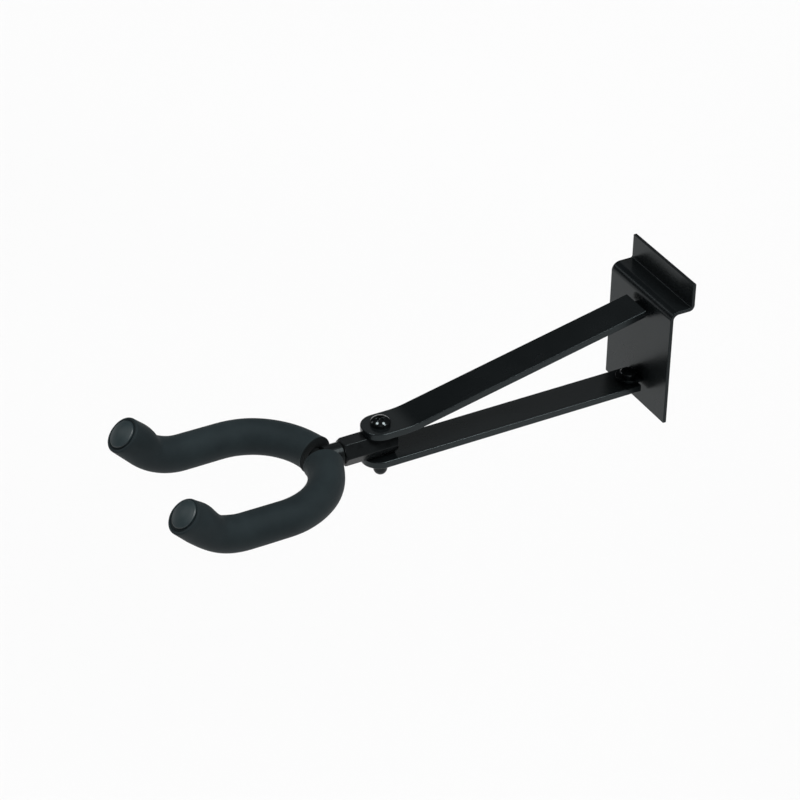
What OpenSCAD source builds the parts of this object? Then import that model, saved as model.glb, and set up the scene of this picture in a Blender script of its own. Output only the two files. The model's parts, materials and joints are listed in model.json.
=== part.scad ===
// Wall guitar hanger: a slat-hook plate, two flat arms, a hexagonal shank and a padded yoke.
// Units are millimetres. +Z is up, the arms reach out along -Y, and the wall is the plane Y = 0.
// Origin: the middle of the plate's wall face.

/* [Wall plate] */
// Width of the bent sheet
plate_w = 60; // [40:1:100]
// Thickness of the sheet
plate_t = 2; // [1.5:0.5:3]
// Bottom edge, below the origin
plate_drop = 35.3; // [25:0.1:60]
// Top of the ledge, above the origin
ledge_top = 35.5; // [25:0.5:60]
// Gap between the wall face and the hook lip
hook_gap = 11; // [8:0.5:20]
// Height of the hook lip above the ledge
lip_h = 14.5; // [8:0.5:25]
// Outer radius of the bend above the main face
front_bend_r = 5; // [3:0.5:8]
// Inner radius of the bend under the lip
lip_bend_r = 1.2; // [0.5:0.1:4]
// Rounding of the four corners of the sheet
corner_r = 0.5; // [0.5:0.5:6]

/* [Lugs] */
// Width of each lug
lug_w = 14; // [10:1:18]
// Thickness of each lug
lug_t = 2; // [1.5:0.5:4]
// Distance of the lower lug's screw from the plate's front face
lower_screw_y = 4.9; // [4:0.1:9]
// Distance of the upper lug's screw from the plate's front face, along the arm
upper_screw_y = 6.6; // [5:0.1:10]
// Radius of the lug screws' shanks
lug_screw_r = 1.5; // [1:0.5:3]
// Radius of the lug screws' heads
lug_head_r = 4.5; // [3:0.25:5]
// Height of the lug screws' heads
lug_head_h = 4; // [2:0.1:5]

/* [Arms] */
// Width of both flat bars
arm_w = 20; // [12:1:30]
// Thickness of both flat bars
arm_t = 4; // [3:0.5:6]
// Gap between the plate and the square ends of the arms
arm_gap = 2.3; // [0.5:0.1:4]
// Distance of the arms' rounded ends in front of the pivot screw, centre to centre
arm_lead = 0.9; // [0:0.1:4]
// Distance of the pivot screw from the wall face
pivot_y = 161.3; // [80:0.1:300]
// Top of the upper arm where it meets the plate
upper_top = 27.4; // [15:0.1:30]
// Slope of the upper arm, in degrees
upper_slope = 11.94; // [4:0.01:25]
// Radius of the upper arm's bend, on its top face
arm_bend_r = 50; // [10:1:80]
// Clearance round the screws in the arms and lugs
hole_gap = 0.1; // [0.05:0.05:0.5]

/* [Hexagonal shank] */
// Height of the shank's axis
shank_z = -14.3; // [-30:0.1:10]
// Distance across the flats
shank_af = 13.7; // [10:0.1:20]
// Clearance between the shank and each arm
shank_gap = 0.15; // [0.05:0.05:0.5]
// Length in front of the pivot screw
shank_front = 23.5; // [15:0.5:40]
// Length behind the pivot screw
shank_back = 7.5; // [5:0.5:15]
// Length of the turned chamfer at each end
shank_chamfer = 1; // [0.5:0.1:3]

/* [Pivot screw and nut] */
// Radius of the pivot screw's shank
pivot_r = 2.5; // [2:0.5:4]
// Radius of the pivot screw's pan head
pivot_head_r = 5.35; // [4:0.05:7]
// Height of the pivot screw's pan head
pivot_head_h = 4.4; // [2:0.1:5]
// Turn of the pivot screw's recess, in degrees
pivot_turn = 17; // [0:1:90]
// Distance across the flats of the domed nut
nut_af = 8; // [7:0.5:13]
// Height of the hexagonal part of the domed nut
nut_h = 4; // [3:0.5:6]
// Overall height of the domed nut
nut_total_h = 10; // [7:0.5:15]

/* [Yoke] */
// Distance from the pivot screw to the middle of the yoke's base
yoke_reach = 36.7; // [30:0.1:60]
// Radius of the steel rod
rod_r = 4.5; // [3:0.5:6]
// Radius of the neck that carries the rod
neck_r = 6.2; // [5:0.1:8]
// Radius of the spigot that turns in the shank
spigot_r = 4; // [3:0.5:5]
// Radius of the half-round base of the yoke
base_r = 39; // [25:0.1:60]
// Straight part of each prong
prong_l = 21.8; // [5:0.1:60]
// Radius of the upturned end
tip_bend_r = 30.3; // [15:0.1:60]
// Angle of the upturned end, in degrees
tip_sweep = 47.5; // [20:0.1:80]
// Straight part after the upturned bend
tip_l = 16.6; // [8:0.1:40]

/* [Foam and end caps] */
// Outer radius of the foam sleeves
foam_r = 9.75; // [7:0.05:14]
// Distance of each sleeve's cut end from the middle of the yoke, on the rod's centre line
sleeve_x = 4.6; // [3:0.1:15]
// Lean of the cut ends, in degrees
sleeve_lean = 17.5; // [0:0.5:30]
// Radius of the end caps
cap_r = 7.8; // [6:0.1:10]
// Thickness of the end caps at the rim
cap_t = 1.4; // [1:0.1:3]
// Radius of the domed face of the end caps
cap_dome_r = 36; // [20:1:80]
// Outer radius of the cap's skirt
skirt_r = 6; // [5:0.1:8]
// Depth of the cap's skirt
skirt_l = 7; // [4:0.5:12]

/* [Hidden] */
$fn = 96;
far = 400;
bend_steps = 16;

lower_top = shank_z - shank_af / 2 - shank_gap;
lower_bottom = lower_top - arm_t;
flat_bottom = shank_z + shank_af / 2 + shank_gap;
flat_top = flat_bottom + arm_t;
shank_corner_r = shank_af / sqrt(3);
turning_gap = 0.05;
shank_bore_r = pivot_r + turning_gap;
spigot_bore_r = spigot_r + turning_gap;
spigot_back = 7.5;
bore_back = 7;
neck_gap = 0.3;
end_inset = 0.2;
neck_wrap = 1.4;
neck_end = yoke_reach - rod_r + neck_wrap;

bend_corner_y = -plate_t - (upper_top - flat_top) / tan(upper_slope);
bend_start_y = bend_corner_y - arm_bend_r * tan(upper_slope / 2);

base_y = -pivot_y - yoke_reach;
prong_start_y = base_y - base_r;
prong_end_y = prong_start_y - prong_l;
seam_l = 0.6;
seam_t = 0.02;

screw_tip_gap = 0.4;
lug_screw_l = lug_t + arm_t - screw_tip_gap;
nut_bore_l = 6;
nut_grip = 5.5;
nut_dome_inset = 0.2;
nut_dome_r = nut_af / 2 - nut_dome_inset;
pivot_screw_l = flat_top - lower_bottom + nut_grip;
head_dome_ratio = 1.4;
recess_l_ratio = 1;
recess_w_ratio = 0.26;
recess_d_ratio = 0.4;
cap_floor = 1;

// ---- Helpers ----

// Extrudes a Y-Z drawing to both sides of the plane X = 0.
module across(width) {
  rotate([90, 0, 90])
    linear_extrude(height = width, center = true)
      children();
}

// One quarter of a flat ring, in the quadrant turned by the angle.
module quarter_ring(outer, inner, angle) {
  rotate(angle)
    intersection() {
      difference() {
        circle(r = outer);
        circle(r = inner);
      }
      square(outer + 1);
    }
}

module rounded_rectangle(width, low, high, radius) {
  translate([-width / 2 + radius, low])
    square([width - 2 * radius, high - low]);
  translate([-width / 2, low + radius])
    square([width, high - low - 2 * radius]);
  for (x = [-1, 1], z = [low + radius, high - radius])
    translate([x * (width / 2 - radius), z])
      circle(r = radius);
}

// Frame of the upper arm: origin on its top face at the plate, -Y along the arm.
module on_upper_arm() {
  translate([0, -plate_t, upper_top])
    rotate([upper_slope, 0, 0])
      children();
}

// ---- Wall plate ----

module plate_profile() {
  translate([-plate_t, -plate_drop])
    square([plate_t, plate_drop + ledge_top - front_bend_r]);
  translate([front_bend_r - plate_t, ledge_top - front_bend_r])
    quarter_ring(front_bend_r, front_bend_r - plate_t, 90);
  translate([front_bend_r - plate_t, ledge_top - plate_t])
    square([hook_gap - lip_bend_r - front_bend_r + plate_t, plate_t]);
  translate([hook_gap - lip_bend_r, ledge_top + lip_bend_r])
    quarter_ring(lip_bend_r + plate_t, lip_bend_r, 270);
  translate([hook_gap, ledge_top + lip_bend_r])
    square([plate_t, lip_h - lip_bend_r]);
}

module wall_plate() {
  color([0.05, 0.05, 0.055])
    intersection() {
      across(plate_w)
        plate_profile();
      rotate([90, 0, 0])
        linear_extrude(height = far, center = true)
          rounded_rectangle(plate_w, -plate_drop, ledge_top + lip_h, corner_r);
    }
}

// ---- Lugs ----

// Tab with a square root and a rounded front end, its lower face on Z = 0.
module lug(root_y, screw_y) {
  color([0.05, 0.05, 0.055])
    linear_extrude(height = lug_t)
      difference() {
        union() {
          translate([-lug_w / 2, screw_y])
            square([lug_w, root_y - screw_y]);
          intersection() {
            translate([0, screw_y])
              circle(r = lug_w / 2);
            translate([-lug_w, root_y - 2 * lug_w])
              square(2 * lug_w);
          }
        }
        translate([0, screw_y])
          circle(r = lug_screw_r + hole_gap);
      }
}

module upper_lug() {
  difference() {
    on_upper_arm()
      translate([0, 0, -arm_t - lug_t])
        lug(plate_t, -upper_screw_y);
    translate([-plate_w / 2, -plate_t, 0])
      cube([plate_w, far, ledge_top]);
  }
}

module lower_lug() {
  translate([0, 0, lower_top])
    lug(-plate_t, -plate_t - lower_screw_y);
}

// ---- Arms ----

// Plan of an arm: square at the plate, half round at the pivot screw.
module arm_plan() {
  difference() {
    union() {
      translate([-arm_w / 2, -pivot_y - arm_lead])
        square([arm_w, pivot_y + arm_lead - plate_t - arm_gap]);
      translate([0, -pivot_y - arm_lead])
        circle(r = arm_w / 2);
    }
    translate([0, -pivot_y])
      circle(r = pivot_r + hole_gap);
  }
}

// Side view of the upper arm: level at the pivot, then bent up towards the plate.
module upper_arm_profile() {
  function bend(radius) = [
    for (i = [0:bend_steps])
      let (a = upper_slope * i / bend_steps)
        [bend_start_y + radius * sin(a), flat_top + arm_bend_r - radius * cos(a)]
  ];
  underside = bend(arm_bend_r + arm_t);
  top = bend(arm_bend_r);
  polygon(concat(
    [[-pivot_y - arm_w, flat_bottom]],
    underside,
    [[-plate_t, upper_top - arm_t / cos(upper_slope)], [-plate_t, upper_top]],
    [for (i = [bend_steps:-1:0]) top[i]],
    [[-pivot_y - arm_w, flat_top]]
  ));
}

module upper_arm() {
  color([0.05, 0.05, 0.055])
    difference() {
      intersection() {
        across(arm_w)
          upper_arm_profile();
        linear_extrude(height = far, center = true)
          arm_plan();
      }
      on_upper_arm()
        translate([0, -upper_screw_y, -arm_t - lug_t])
          cylinder(r = lug_screw_r, h = lug_screw_l);
    }
}

module lower_arm() {
  color([0.05, 0.05, 0.055])
    translate([0, 0, lower_bottom])
      difference() {
        linear_extrude(height = arm_t)
          arm_plan();
        translate([0, -plate_t - lower_screw_y, screw_tip_gap])
          cylinder(r = lug_screw_r, h = arm_t);
      }
}

// ---- Screws and nut ----

// Pan head screw with a cross recess: the head stands on Z = 0, the shank points down.
module pan_screw(length, shank_r, head_r, head_h) {
  dome_r = head_dome_ratio * head_r;
  recess_l = recess_l_ratio * head_r;
  recess_w = recess_w_ratio * head_r;
  recess_d = recess_d_ratio * head_h;
  color([0.03, 0.03, 0.03]) {
    difference() {
      intersection() {
        cylinder(r = head_r, h = head_h);
        translate([0, 0, head_h - dome_r])
          sphere(r = dome_r);
      }
      for (turn = [0, 90])
        rotate(turn)
          translate([-recess_l / 2, -recess_w / 2, head_h - recess_d])
            cube([recess_l, recess_w, head_h]);
    }
    translate([0, 0, -length])
      cylinder(r = shank_r, h = length);
  }
}

module lug_screw() {
  pan_screw(lug_screw_l, lug_screw_r, lug_head_r, lug_head_h);
}

module upper_lug_screw() {
  on_upper_arm()
    translate([0, -upper_screw_y, -arm_t - lug_t])
      rotate([180, 0, 0])
        lug_screw();
}

module lower_lug_screw() {
  translate([0, -plate_t - lower_screw_y, lower_top + lug_t])
    lug_screw();
}

module pivot_screw() {
  translate([0, -pivot_y, flat_top])
    rotate(pivot_turn)
      pan_screw(pivot_screw_l, pivot_r, pivot_head_r, pivot_head_h);
}

module pivot_cap_nut() {
  color([0.03, 0.03, 0.03])
    translate([0, -pivot_y, lower_bottom])
      mirror([0, 0, 1])
        difference() {
          union() {
            cylinder(r = nut_af / sqrt(3), h = nut_h, $fn = 6);
            cylinder(r = nut_dome_r, h = nut_total_h - nut_dome_r);
            translate([0, 0, nut_total_h - nut_dome_r])
              sphere(r = nut_dome_r);
          }
          translate([0, 0, -1])
            cylinder(r = pivot_r, h = nut_bore_l + 1);
        }
}

// ---- Hexagonal shank ----

module hex_shank() {
  length = shank_front + shank_back;
  end_r = shank_af / 2 - end_inset;
  outer_r = shank_corner_r + end_inset;
  color([0.04, 0.04, 0.045])
    difference() {
      translate([0, shank_back - pivot_y, shank_z])
        rotate([90, 0, 0])
          intersection() {
            cylinder(r = shank_corner_r, h = length, $fn = 6);
            rotate_extrude()
              polygon([
                [0, 0],
                [end_r, 0],
                [outer_r, shank_chamfer],
                [outer_r, length - shank_chamfer],
                [end_r, length],
                [0, length]
              ]);
          }
      translate([0, -pivot_y, shank_z - shank_af])
        cylinder(r = shank_bore_r, h = 2 * shank_af);
      translate([0, -pivot_y - bore_back, shank_z])
        rotate([90, 0, 0])
          cylinder(r = spigot_bore_r, h = shank_front);
    }
}

// ---- Yoke ----

// Round bar along the base of the yoke, from the +X prong round through the given angle.
module base_arc(radius, angle) {
  translate([0, prong_start_y, shank_z])
    rotate_extrude(angle = angle)
      translate([base_r, 0])
        circle(r = radius);
}

// Round bar along the +X prong and its upturned end, with a thin band over the last seam.
module prong(radius, end_gap) {
  translate([base_r, prong_start_y, shank_z])
    rotate([90, 0, 0])
      cylinder(r = radius, h = prong_l);
  translate([base_r, prong_end_y, shank_z + tip_bend_r])
    rotate([0, 90, 180])
      rotate_extrude(angle = tip_sweep)
        translate([tip_bend_r, 0])
          circle(r = radius);
  at_tip_bend()
    rotate([90, 0, 0]) {
      cylinder(r = radius, h = tip_l - end_gap);
      translate([0, 0, -seam_l / 2])
        cylinder(r = radius + seam_t, h = seam_l);
    }
}

// Frame at the end of the upturned bend on the +X side, -Y along the tip.
module at_tip_bend() {
  translate([base_r, prong_end_y, shank_z + tip_bend_r])
    rotate([-tip_sweep, 0, 0])
      translate([0, 0, -tip_bend_r])
        children();
}

module yoke_rod() {
  color([0.03, 0.03, 0.03]) {
    base_arc(rod_r, 180);
    prong(rod_r, cap_t + cap_floor);
    mirror([1, 0, 0])
      prong(rod_r, cap_t + cap_floor);
  }
}

module yoke_neck() {
  color([0.03, 0.03, 0.03])
    difference() {
      translate([0, -pivot_y, shank_z])
        rotate([90, 0, 0]) {
          translate([0, 0, spigot_back])
            cylinder(r = spigot_r, h = shank_front);
          translate([0, 0, shank_front + neck_gap])
            cylinder(r = neck_r, h = neck_end - shank_front - neck_gap);
        }
      translate([0, prong_start_y, shank_z])
        rotate_extrude()
          translate([base_r, 0])
            circle(r = rod_r);
    }
}

// Sleeve over the +X prong, relieved where its leaning end meets the neck.
module foam_sleeve() {
  color([0.08, 0.08, 0.085])
    difference() {
      union() {
        base_arc(foam_r, 90);
        prong(foam_r, cap_t);
      }
      base_arc(rod_r, 90);
      prong(rod_r, 0);
      translate([sleeve_x, base_y, shank_z])
        rotate(-sleeve_lean)
          translate([-base_r, -base_r / 2, -base_r / 2])
            cube(base_r);
      translate([0, base_y, shank_z])
        rotate([-90, 0, 0])
          cylinder(r = neck_r + turning_gap, h = base_r);
      at_tip_bend()
        translate([0, cap_t - tip_l + skirt_l, 0])
          rotate([90, 0, 0])
            cylinder(r = skirt_r, h = skirt_l + 1);
    }
}

module foam_sleeve_right() {
  foam_sleeve();
}

module foam_sleeve_left() {
  mirror([1, 0, 0])
    foam_sleeve();
}

module end_cap() {
  color([0.06, 0.06, 0.065])
    at_tip_bend()
      translate([0, cap_t - tip_l, 0])
        rotate([90, 0, 0])
          difference() {
            intersection() {
              union() {
                translate([0, 0, -skirt_l])
                  cylinder(r = skirt_r, h = skirt_l);
                cylinder(r = cap_r, h = 2 * cap_t);
              }
              translate([0, 0, cap_t - sqrt(pow(cap_dome_r, 2) - pow(cap_r, 2))])
                sphere(r = cap_dome_r);
            }
            translate([0, 0, -skirt_l - cap_floor])
              cylinder(r = rod_r, h = skirt_l);
          }
}

module end_cap_right() {
  end_cap();
}

module end_cap_left() {
  mirror([1, 0, 0])
    end_cap();
}

wall_plate();
upper_lug();
lower_lug();
upper_arm();
lower_arm();
upper_lug_screw();
lower_lug_screw();
pivot_screw();
pivot_cap_nut();
hex_shank();
yoke_neck();
yoke_rod();
foam_sleeve_left();
foam_sleeve_right();
end_cap_left();
end_cap_right();
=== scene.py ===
import json
import math

import bpy
from mathutils import Matrix, Vector, noise


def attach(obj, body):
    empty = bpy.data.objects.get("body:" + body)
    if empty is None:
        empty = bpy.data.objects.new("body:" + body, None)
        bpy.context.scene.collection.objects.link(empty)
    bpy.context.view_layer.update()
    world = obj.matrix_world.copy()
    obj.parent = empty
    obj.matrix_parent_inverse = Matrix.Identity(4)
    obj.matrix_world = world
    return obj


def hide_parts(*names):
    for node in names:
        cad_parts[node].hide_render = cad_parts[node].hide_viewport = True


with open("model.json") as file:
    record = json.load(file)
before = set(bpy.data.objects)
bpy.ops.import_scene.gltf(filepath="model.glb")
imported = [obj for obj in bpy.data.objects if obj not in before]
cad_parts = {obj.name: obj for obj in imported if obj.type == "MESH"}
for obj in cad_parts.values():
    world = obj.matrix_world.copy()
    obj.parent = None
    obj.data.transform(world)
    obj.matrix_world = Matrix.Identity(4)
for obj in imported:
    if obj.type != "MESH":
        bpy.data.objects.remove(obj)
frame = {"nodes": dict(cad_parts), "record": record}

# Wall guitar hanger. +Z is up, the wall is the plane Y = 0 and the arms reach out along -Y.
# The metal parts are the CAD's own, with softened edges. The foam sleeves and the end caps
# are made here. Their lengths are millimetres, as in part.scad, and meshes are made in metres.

MM = 0.001
SIDES = ((1, "right"), (-1, "left"))

# The yoke, as in part.scad
PIVOT_Y = -161.3
YOKE_REACH = 36.7
BASE_R = 39.0
PRONG_L = 21.8
TIP_BEND_R = 30.3
TIP_SWEEP = math.radians(47.5)
TIP_L = 16.6
SHANK_Z = -14.3
ROD_R = 4.5
FOAM_R = 9.75
SLEEVE_X = 4.6
SLEEVE_LEAN = math.radians(17.5)
CAP_T = 1.4
CAP_R = 7.8
CAP_FLOOR = 1.0
SKIRT_R = 6.0
SKIRT_L = 7.0

# Camera: direction in degrees, distance and target in metres, lens and sensor in millimetres
AZIMUTH = 61.59
ELEVATION = 34.06
ROLL = 0.55
DISTANCE = 1.43773
TARGET = Vector((0.00048, -0.15, 0.00857))
LENS = 123.14
SENSOR = 36


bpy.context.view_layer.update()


# ---- Materials ----

# Where the two tones of a base colour stand between the noise's lowest and highest value
TONE_STOPS = (0.3, 0.7)


def node_material(name):
    mat = bpy.data.materials.new(name)
    mat.use_nodes = True
    tree = mat.node_tree
    return mat, tree, tree.nodes["Principled BSDF"]


def object_noise(tree, scale, detail=3.0, roughness=0.55):
    coords = tree.nodes.new("ShaderNodeTexCoord")
    texture = tree.nodes.new("ShaderNodeTexNoise")
    texture.inputs["Scale"].default_value = scale
    texture.inputs["Detail"].default_value = detail
    texture.inputs["Roughness"].default_value = roughness
    tree.links.new(coords.outputs["Object"], texture.inputs["Vector"])
    return texture.outputs["Fac"]


def two_tone(tree, shader, fac, dark, light):
    """Base colour that drifts between two tones."""
    node = tree.nodes.new("ShaderNodeValToRGB")
    for stop, position, colour in zip(node.color_ramp.elements, TONE_STOPS, (dark, light)):
        stop.position = position
        stop.color = (*colour, 1.0)
    tree.links.new(fac, node.inputs["Fac"])
    tree.links.new(node.outputs["Color"], shader.inputs["Base Color"])


def roughness_range(tree, shader, fac, low, high):
    node = tree.nodes.new("ShaderNodeMapRange")
    node.inputs["To Min"].default_value = low
    node.inputs["To Max"].default_value = high
    tree.links.new(fac, node.inputs["Value"])
    tree.links.new(node.outputs["Result"], shader.inputs["Roughness"])


def reflection(shader, level, tint):
    """Strength and colour of what the surface reflects head on."""
    shader.inputs["Specular IOR Level"].default_value = level
    shader.inputs["Specular Tint"].default_value = (*tint, 1.0)


def bump(tree, shader, height, strength, distance):
    node = tree.nodes.new("ShaderNodeBump")
    node.inputs["Strength"].default_value = strength
    node.inputs["Distance"].default_value = distance
    tree.links.new(height, node.inputs["Height"])
    tree.links.new(node.outputs["Normal"], shader.inputs["Normal"])


def powder_coat(name, gloss):
    """Satin black coat: fine orange peel and a slight drift in tone."""
    mat, tree, shader = node_material(name)
    peel = object_noise(tree, scale=1400.0, detail=2.0)
    cloud = object_noise(tree, scale=35.0)
    two_tone(tree, shader, cloud, dark=(0.0036, 0.0046, 0.0050), light=(0.0050, 0.0062, 0.0067))
    roughness_range(tree, shader, cloud, low=0.23, high=0.30)
    reflection(shader, gloss, tint=(0.80, 0.96, 1.0))
    bump(tree, shader, peel, strength=0.10, distance=0.0001)
    return mat


def gloss_black(name, level, low, high, gloss):
    """Black plated or painted steel: a tone of the given level, a little towards blue."""
    mat, tree, shader = node_material(name)
    cloud = object_noise(tree, scale=220.0)
    dark = (level, level * 1.15, level * 1.2)
    light = (level * 1.5, level * 1.7, level * 1.8)
    two_tone(tree, shader, cloud, dark, light)
    roughness_range(tree, shader, cloud, low, high)
    reflection(shader, gloss, tint=(0.84, 0.97, 1.0))
    bump(tree, shader, cloud, strength=0.05, distance=0.0001)
    return mat


def foam_skin(name, dark, light):
    """Closed-cell foam: very fine cells and a soft, slightly uneven skin."""
    mat, tree, shader = node_material(name)
    cells = object_noise(tree, scale=2600.0, detail=2.0, roughness=0.7)
    cloud = object_noise(tree, scale=60.0, detail=4.0)
    two_tone(tree, shader, cloud, dark, light)
    roughness_range(tree, shader, cloud, low=0.66, high=0.78)
    reflection(shader, level=0.18, tint=(0.82, 0.96, 1.0))
    shader.inputs["Sheen Weight"].default_value = 0.04
    shader.inputs["Sheen Roughness"].default_value = 0.5
    bump(tree, shader, cells, strength=0.35, distance=0.0002)
    return mat


def cap_plastic(name):
    """Moulded cap: finely spark-eroded plastic."""
    mat, tree, shader = node_material(name)
    grain = object_noise(tree, scale=1800.0, detail=2.0)
    cloud = object_noise(tree, scale=90.0)
    two_tone(tree, shader, cloud, dark=(0.013, 0.023, 0.026), light=(0.018, 0.029, 0.032))
    roughness_range(tree, shader, cloud, low=0.36, high=0.44)
    bump(tree, shader, grain, strength=0.15, distance=0.0001)
    return mat


def floor_paint(name):
    mat, tree, shader = node_material(name)
    cloud = object_noise(tree, scale=0.6, detail=2.0)
    two_tone(tree, shader, cloud, dark=(0.765, 0.765, 0.765), light=(0.785, 0.785, 0.785))
    shader.inputs["Roughness"].default_value = 0.9
    return mat


COAT = powder_coat("satin_black_coat", gloss=0.32)
PLATE_COAT = powder_coat("dull_black_coat", gloss=0.20)
FASTENER = gloss_black("gloss_black_screw", level=0.004, low=0.10, high=0.16, gloss=0.40)
CAP_NUT = gloss_black("black_cap_nut", level=0.006, low=0.28, high=0.36, gloss=0.20)
STEEL = gloss_black("black_steel", level=0.006, low=0.24, high=0.32, gloss=0.10)
FOAM = foam_skin("black_foam", dark=(0.0070, 0.0112, 0.0130), light=(0.0122, 0.0184, 0.0206))
# Darker foam on the cut ends and in the bores: partly the open cells of the cut, partly painted shade
FOAM_CUT_AND_SHADE = foam_skin("cut_foam_painted_shade", dark=(0.003, 0.0045, 0.005), light=(0.006, 0.008, 0.0085))
CAP = cap_plastic("moulded_cap")
BY_SLOT = {"powder_coat": COAT, "black_fastener": FASTENER, "black_steel": STEEL}
OWN_FINISH = {"wall_plate": PLATE_COAT, "pivot_cap_nut": CAP_NUT}


# ---- CAD parts that are shown: a material and softened edges ----

# Width of each part's softened edges
EDGE = {
    "wall_plate": 0.3, "upper_lug": 0.3, "lower_lug": 0.3,
    "upper_arm": 0.5, "lower_arm": 0.5,
    "upper_lug_screw": 0.12, "lower_lug_screw": 0.12,
    "pivot_screw": 0.15, "pivot_cap_nut": 0.15,
    "hex_shank": 0.4, "yoke_neck": 0.3, "yoke_rod": 0.2,
}
EDGE_STEPS = 6
# Edges that turn by more than this are softened
EDGE_ANGLE = math.radians(32)
# Vertices closer than this are welded, and faces that turn by less than this are joined
WELD_GAP = 0.005
FLAT_ANGLE = math.radians(0.5)


def smooth_shading(obj):
    for polygon in obj.data.polygons:
        polygon.use_smooth = True


def finish_cad_part(obj, material, edge):
    obj.data.materials.clear()
    obj.data.materials.append(material)
    smooth_shading(obj)
    weld = obj.modifiers.new("weld", "WELD")
    weld.merge_threshold = WELD_GAP * MM
    flat = obj.modifiers.new("flat", "DECIMATE")
    flat.decimate_type = "DISSOLVE"
    flat.angle_limit = FLAT_ANGLE
    bevel = obj.modifiers.new("edge", "BEVEL")
    bevel.width = edge * MM
    bevel.segments = EDGE_STEPS
    bevel.use_clamp_overlap = False
    bevel.limit_method = "ANGLE"
    bevel.angle_limit = EDGE_ANGLE
    normals = obj.modifiers.new("normals", "WEIGHTED_NORMAL")
    normals.keep_sharp = True


slot_of = {part["node"]: part["material_slot"] for part in frame["record"]["subparts"]}
for node, edge in EDGE.items():
    finish_cad_part(frame["nodes"][node], OWN_FINISH.get(node, BY_SLOT[slot_of[node]]), edge)


# ---- The yoke's centre line ----

QUARTER = BASE_R * math.pi / 2
TIP_ARC = TIP_BEND_R * TIP_SWEEP
PATH_L = QUARTER + PRONG_L + TIP_ARC + TIP_L
PRONG_Y = PIVOT_Y - YOKE_REACH - BASE_R
TIP_Y = PRONG_Y - PRONG_L


def path_frame(along):
    """Point, outward and upward directions, some way along from the base's middle to the +X tip."""
    if along <= QUARTER:
        turn = along / BASE_R
        outward = Vector((math.sin(turn), math.cos(turn), 0))
        return Vector((0, PRONG_Y, SHANK_Z)) + outward * BASE_R, outward, Vector((0, 0, 1))
    outward = Vector((1, 0, 0))
    if along <= QUARTER + PRONG_L:
        return Vector((BASE_R, PRONG_Y - along + QUARTER, SHANK_Z)), outward, Vector((0, 0, 1))
    beyond = along - QUARTER - PRONG_L
    turn = min(beyond / TIP_BEND_R, TIP_SWEEP)
    forward = Vector((0, -math.cos(turn), math.sin(turn)))
    upward = Vector((0, math.sin(turn), math.cos(turn)))
    point = Vector((BASE_R, TIP_Y, SHANK_Z + TIP_BEND_R)) - upward * TIP_BEND_R
    return point + forward * max(beyond - TIP_ARC, 0), outward, upward


# ---- Pieces turned round the centre line ----

AROUND = 72


def ring_faces(ring, following, mirrored):
    """Faces between two rings. A ring of one vertex closes a pole."""
    faces = []
    for k in range(AROUND):
        after = (k + 1) % AROUND
        loop = [ring[k % len(ring)], ring[after % len(ring)]]
        loop += [following[after % len(following)], following[k % len(following)]]
        corners = list(dict.fromkeys(loop))
        if len(corners) > 2:
            faces.append(corners if mirrored else corners[::-1])
    return faces


def turned_piece(name, outline, side, place):
    """Closed skin: place() puts each outline point at each angle round the centre line."""
    verts = []
    rings = []
    for point in outline:
        steps = AROUND if point[1] > 0 else 1
        rings.append([len(verts) + k for k in range(steps)])
        for k in range(steps):
            vert = place(point, 2 * math.pi * k / AROUND)
            verts.append(Vector((vert.x * side, vert.y, vert.z)) * MM)
    faces = []
    for ring, following in zip(rings, rings[1:] + rings[:1]):
        faces += ring_faces(ring, following, mirrored=side < 0)
    mesh = bpy.data.meshes.new(name)
    mesh.from_pydata(verts, [], faces)
    mesh.update()
    obj = bpy.data.objects.new(name, mesh)
    bpy.context.scene.collection.objects.link(obj)
    smooth_shading(obj)
    return obj


# ---- Foam sleeves ----

def sleeve_start(radius, angle):
    """Distance along the centre line where a spoke of the tube crosses the leaning cut."""
    spoke = radius * math.cos(angle)
    return BASE_R * math.asin((SLEEVE_X + spoke * math.tan(SLEEVE_LEAN)) / (BASE_R + spoke))


SLEEVE_START = sleeve_start(0, 0)
SLEEVE_L = PATH_L - CAP_T - SLEEVE_START
# Rings along the skin and along the bore
SKIN_RINGS = 90
BORE_RINGS = 12
# The cut end's rounding, the bore's clearance on the rod and the chamfer of its mouths
CUT_ROUND = 0.45
CUT_STEPS = 5
BORE_GAP = 0.03
MOUTH = 0.5
# The lip round the cap: how far it stands past the sleeve's end, its inner radius, and how
# far below that end the cap's seat is
TIP_LIP = 0.5
LIP_R = 8.05
LIP_STEPS = 8
SEAT = 0.2
# How far each sleeve's cut end has slipped along the rod
SLIP = {"right": 1.3, "left": -0.7}
# Unevenness of the skin: height, waves per millimetre, and each sleeve's shift in the noise
LUMP = 0.16
LUMP_SCALE = 0.045
LUMP_SHIFT = 7.0
# Swelling of the whole cut end, and of its outer upper side
FLARE = 0.35
FLARE_L = 2.0
SHOULDER = 0.9
SHOULDER_L = 7.0
SHOULDER_TURN = math.radians(25)
# Swelling of the tip, and how far the foam and the cap sit above the centre line there
TIP_FLARE = 0.4
TIP_SOFT_L = 9.0
FOAM_LIFT = {"right": -0.65, "left": 0.3}
CAP_LIFT = {"right": 0.2, "left": 0.55}
# Swellings and dents where the tip bends:
# (height, distance back from the end, spread, degrees round from outward towards upward)
BULGES = {
    "right": ((0.95, 9.0, 5.5, 90), (-0.6, 24.0, 5.0, 90), (-0.5, 0.0, 3.5, 110), (0.65, 11.5, 6.0, -90)),
    "left": ((1.45, 10.5, 7.5, 90), (-0.3, 21.0, 3.0, 90)),
}


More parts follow.
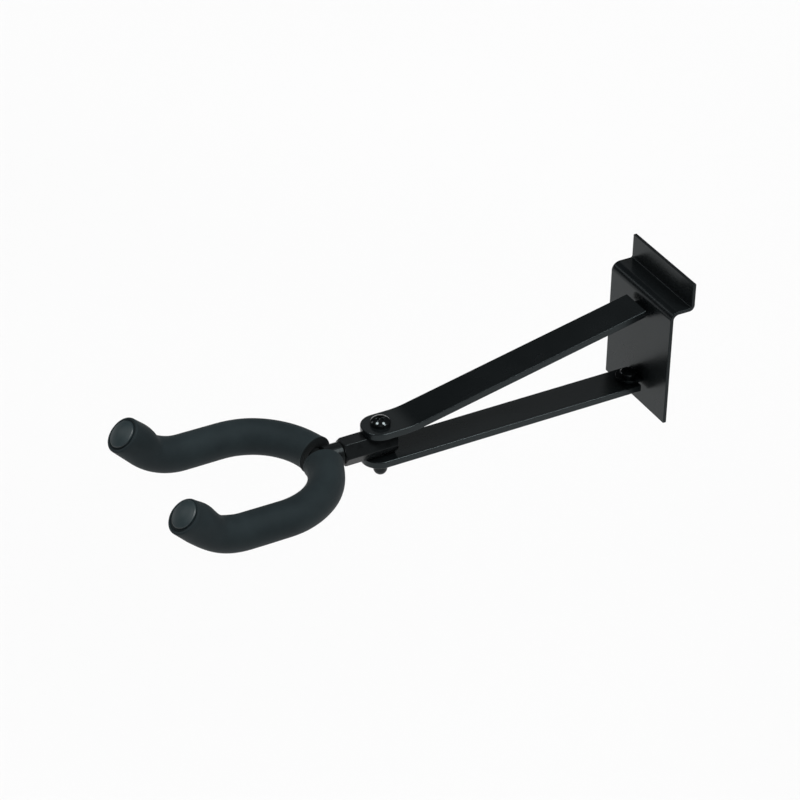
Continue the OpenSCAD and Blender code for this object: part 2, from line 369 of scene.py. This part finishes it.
def sleeve_outline():
    """(distance from the cut end, radius), outside first and back along the bore."""
    line = [(0.0, ROD_R + MOUTH)]
    for k in range(CUT_STEPS + 1):
        turn = math.pi / 2 * k / CUT_STEPS
        line.append((CUT_ROUND * (1 - math.cos(turn)), FOAM_R - CUT_ROUND * (1 - math.sin(turn))))
    lip_round = (FOAM_R - LIP_R) / 2
    lip_start = SLEEVE_L + TIP_LIP - lip_round
    span = lip_start - CUT_ROUND
    line += [(CUT_ROUND + span * k / SKIN_RINGS, FOAM_R) for k in range(1, SKIN_RINGS)]
    for k in range(LIP_STEPS + 1):
        turn = math.pi * k / LIP_STEPS
        line.append((lip_start + lip_round * math.sin(turn), LIP_R + lip_round * (1 + math.cos(turn))))
    seat = SLEEVE_L - SEAT
    line += [(seat, LIP_R), (seat, ROD_R + MOUTH), (seat - MOUTH, ROD_R + BORE_GAP)]
    line += [(SLEEVE_L * (1 - k / BORE_RINGS), ROD_R + BORE_GAP) for k in range(1, BORE_RINGS)]
    line.append((MOUTH, ROD_R + BORE_GAP))
    return line


def bulge_height(bulges, back, angle):
    """Extra radius at a distance back from the end and an angle round the tube."""
    total = 0.0
    for height, middle, spread, facing in bulges:
        around = max(0.0, math.cos(angle - math.radians(facing)))
        total += height * around * math.exp(-((back - middle) / spread) ** 2)
    return total


def cut_end_swelling(distance, angle):
    facing = max(0.0, math.cos(angle - SHOULDER_TURN))
    flare = FLARE * math.exp(-(distance / FLARE_L) ** 2)
    return flare + SHOULDER * facing * math.exp(-distance / SHOULDER_L)


def sleeve_place(side, slip, lift, bulges):
    """Rings start on the leaning cut and end square. Only the outer skin is uneven."""
    def place(point, angle):
        distance, radius = point
        start = sleeve_start(radius, angle) + slip
        stretch = (SLEEVE_L + SLEEVE_START - start) / SLEEVE_L
        centre, outward, upward = path_frame(start + distance * stretch)
        spoke = outward * math.cos(angle) + upward * math.sin(angle)
        if radius >= LIP_R:
            where = (centre + spoke * radius) * LUMP_SCALE + Vector((side * LUMP_SHIFT, 0, 0))
            back = SLEEVE_L - distance
            at_tip = math.exp(-(back / TIP_SOFT_L) ** 2)
            radius += noise.noise(where) * LUMP
            radius += cut_end_swelling(distance, angle)
            radius += TIP_FLARE * at_tip + bulge_height(bulges, back, angle)
            centre = centre + upward * lift * at_tip
        return centre + spoke * radius
    return place


def is_cut_face(point):
    """True where the skin that follows an outline point is the cut end or the bore, which take the darker
    foam: partly the cut's open cells, partly painted shade.
    """
    return point[0] <= CUT_ROUND / 2 or point[1] < LIP_R


def foam_sleeve(side, word):
    outline = sleeve_outline()
    place = sleeve_place(side, SLIP[word], FOAM_LIFT[word], BULGES[word])
    foam = turned_piece("foam_" + word, outline, side, place)
    foam.data.materials.append(FOAM)
    foam.data.materials.append(FOAM_CUT_AND_SHADE)
    # The cut end and the bore take the darker foam, which is partly painted shade
    for polygon in foam.data.polygons:
        if is_cut_face(outline[polygon.index // AROUND]):
            polygon.material_index = 1
    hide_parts("foam_sleeve_" + word)
    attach(foam, "yoke")


for side, word in SIDES:
    foam_sleeve(side, word)


# ---- End caps ----

CAP_BASE = PATH_L - CAP_T
# The disc's rounded rim, and the height of its crown above the rim
RIM_R = 0.75
RIM_STEPS = 8
CAP_CROWN = 1.0
CROWN_STEPS = 14
# How far the disc's back is past the sleeve's end, and the chamfer and inset of its back edge
DISC_GAP = 0.05
BACK_CHAMFER = 0.3
BACK_INSET = 0.1
# The skirt's clearance, and the size of its fillet with the disc
SKIRT_GAP = 0.1
SKIRT_FILLET = 0.3


def cap_outline():
    """(position along the path, radius): the skirt, the disc's back, its rim and its crown."""
    back = CAP_BASE + DISC_GAP
    skirt_r = SKIRT_R - SKIRT_GAP
    line = [(CAP_BASE - SKIRT_L, ROD_R + SKIRT_GAP), (CAP_BASE - SKIRT_L, skirt_r)]
    line += [(CAP_BASE - SKIRT_FILLET, skirt_r), (back, SKIRT_R + SKIRT_FILLET)]
    line += [(back, CAP_R - BACK_INSET - BACK_CHAMFER), (back + BACK_CHAMFER / 2, CAP_R - BACK_INSET)]
    for k in range(RIM_STEPS + 1):
        turn = math.pi / 2 * k / RIM_STEPS
        line.append((PATH_L - RIM_R * (1 - math.sin(turn)), CAP_R - RIM_R * (1 - math.cos(turn))))
    for k in range(1, CROWN_STEPS + 1):
        share = 1 - k / CROWN_STEPS
        line.append((PATH_L + CAP_CROWN * (1 - share * share), (CAP_R - RIM_R) * share))
    line += [(CAP_BASE - CAP_FLOOR, 0.0), (CAP_BASE - CAP_FLOOR, ROD_R)]
    return line


def cap_place(lift):
    def place(point, angle):
        centre, outward, upward = path_frame(point[0])
        spoke = outward * math.cos(angle) + upward * math.sin(angle)
        return centre + upward * lift + spoke * point[1]
    return place


def end_cap(side, word):
    cap = turned_piece("cap_" + word, cap_outline(), side, cap_place(CAP_LIFT[word]))
    cap.data.materials.append(CAP)
    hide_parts("end_cap_" + word)
    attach(cap, "yoke")


for side, word in SIDES:
    end_cap(side, word)


# ---- Floor, surroundings and lights, in metres ----

FLOOR_Z = -0.62
FLOOR_SIZE = 40
# Strength of the pale surroundings as the light that they give, and as the camera sees them
WORLD_LIGHT = 0.005
WORLD_SEEN = 1.0
# Soft lights: (name, towards the camera's right, towards the camera, up, irradiance, degrees wide)
LIGHTS = (
    ("over_left", -0.42, 0.14, 0.90, 1.75, 19),
    ("over_right", 0.42, 0.14, 0.90, 1.75, 19),
    ("rim_right", 0.61, 0.31, 0.73, 0.75, 11),
    ("camera_side", 0.10, 0.83, 0.56, 0.38, 37),
    ("behind", 0.0, -0.83, 0.56, 0.033, 18),
    ("behind_left", -0.81, -0.39, 0.44, 0.09, 13),
)


def pale_floor():
    bpy.ops.mesh.primitive_plane_add(size=FLOOR_SIZE, location=(0, 0, FLOOR_Z))
    floor = bpy.context.object
    floor.name = "floor"
    floor.data.materials.append(floor_paint("pale_floor"))


def pale_surroundings():
    """A pale backdrop that lights the scene only faintly."""
    world = bpy.data.worlds.new("studio")
    world.use_nodes = True
    tree = world.node_tree
    background = tree.nodes["Background"]
    background.inputs["Color"].default_value = (1, 1, 1, 1)
    path = tree.nodes.new("ShaderNodeLightPath")
    strength = tree.nodes.new("ShaderNodeMapRange")
    strength.inputs["To Min"].default_value = WORLD_LIGHT
    strength.inputs["To Max"].default_value = WORLD_SEEN
    tree.links.new(path.outputs["Is Camera Ray"], strength.inputs["Value"])
    tree.links.new(strength.outputs["Result"], background.inputs["Strength"])
    bpy.context.scene.world = world


def level_axes():
    """Level directions towards the camera's right and towards the camera."""
    azimuth = math.radians(AZIMUTH)
    rightward = Vector((math.cos(azimuth), math.sin(azimuth), 0))
    nearer = Vector((math.sin(azimuth), -math.cos(azimuth), 0))
    return rightward, nearer


def add_lights():
    rightward, nearer = level_axes()
    for name, across, near, high, irradiance, width in LIGHTS:
        direction = rightward * across + nearer * near + Vector((0, 0, high))
        data = bpy.data.lights.new(name, "SUN")
        data.energy = irradiance
        data.angle = math.radians(width)
        lamp = bpy.data.objects.new(name, data)
        bpy.context.scene.collection.objects.link(lamp)
        lamp.rotation_euler = direction.to_track_quat("Z", "Y").to_euler()


# ---- Camera ----

def view_axes():
    """The picture's right and up, and the direction back to the camera."""
    elevation = math.radians(ELEVATION)
    roll = math.radians(ROLL)
    right, nearer = level_axes()
    back = nearer * math.cos(elevation) + Vector((0, 0, math.sin(elevation)))
    up = back.cross(right)
    turned_right = right * math.cos(roll) + up * math.sin(roll)
    turned_up = up * math.cos(roll) - right * math.sin(roll)
    return turned_right, turned_up, back


def add_camera():
    right, up, back = view_axes()
    data = bpy.data.cameras.new("camera")
    data.sensor_width = SENSOR
    data.lens = LENS
    camera = bpy.data.objects.new("camera", data)
    bpy.context.scene.collection.objects.link(camera)
    columns = Matrix((right, up, back)).transposed().to_4x4()
    camera.matrix_world = Matrix.Translation(TARGET + back * DISTANCE) @ columns
    bpy.context.scene.camera = camera


pale_floor()
pale_surroundings()
add_lights()
add_camera()
# The default view transform lifts the blacks
bpy.context.scene.view_settings.view_transform = "Standard"
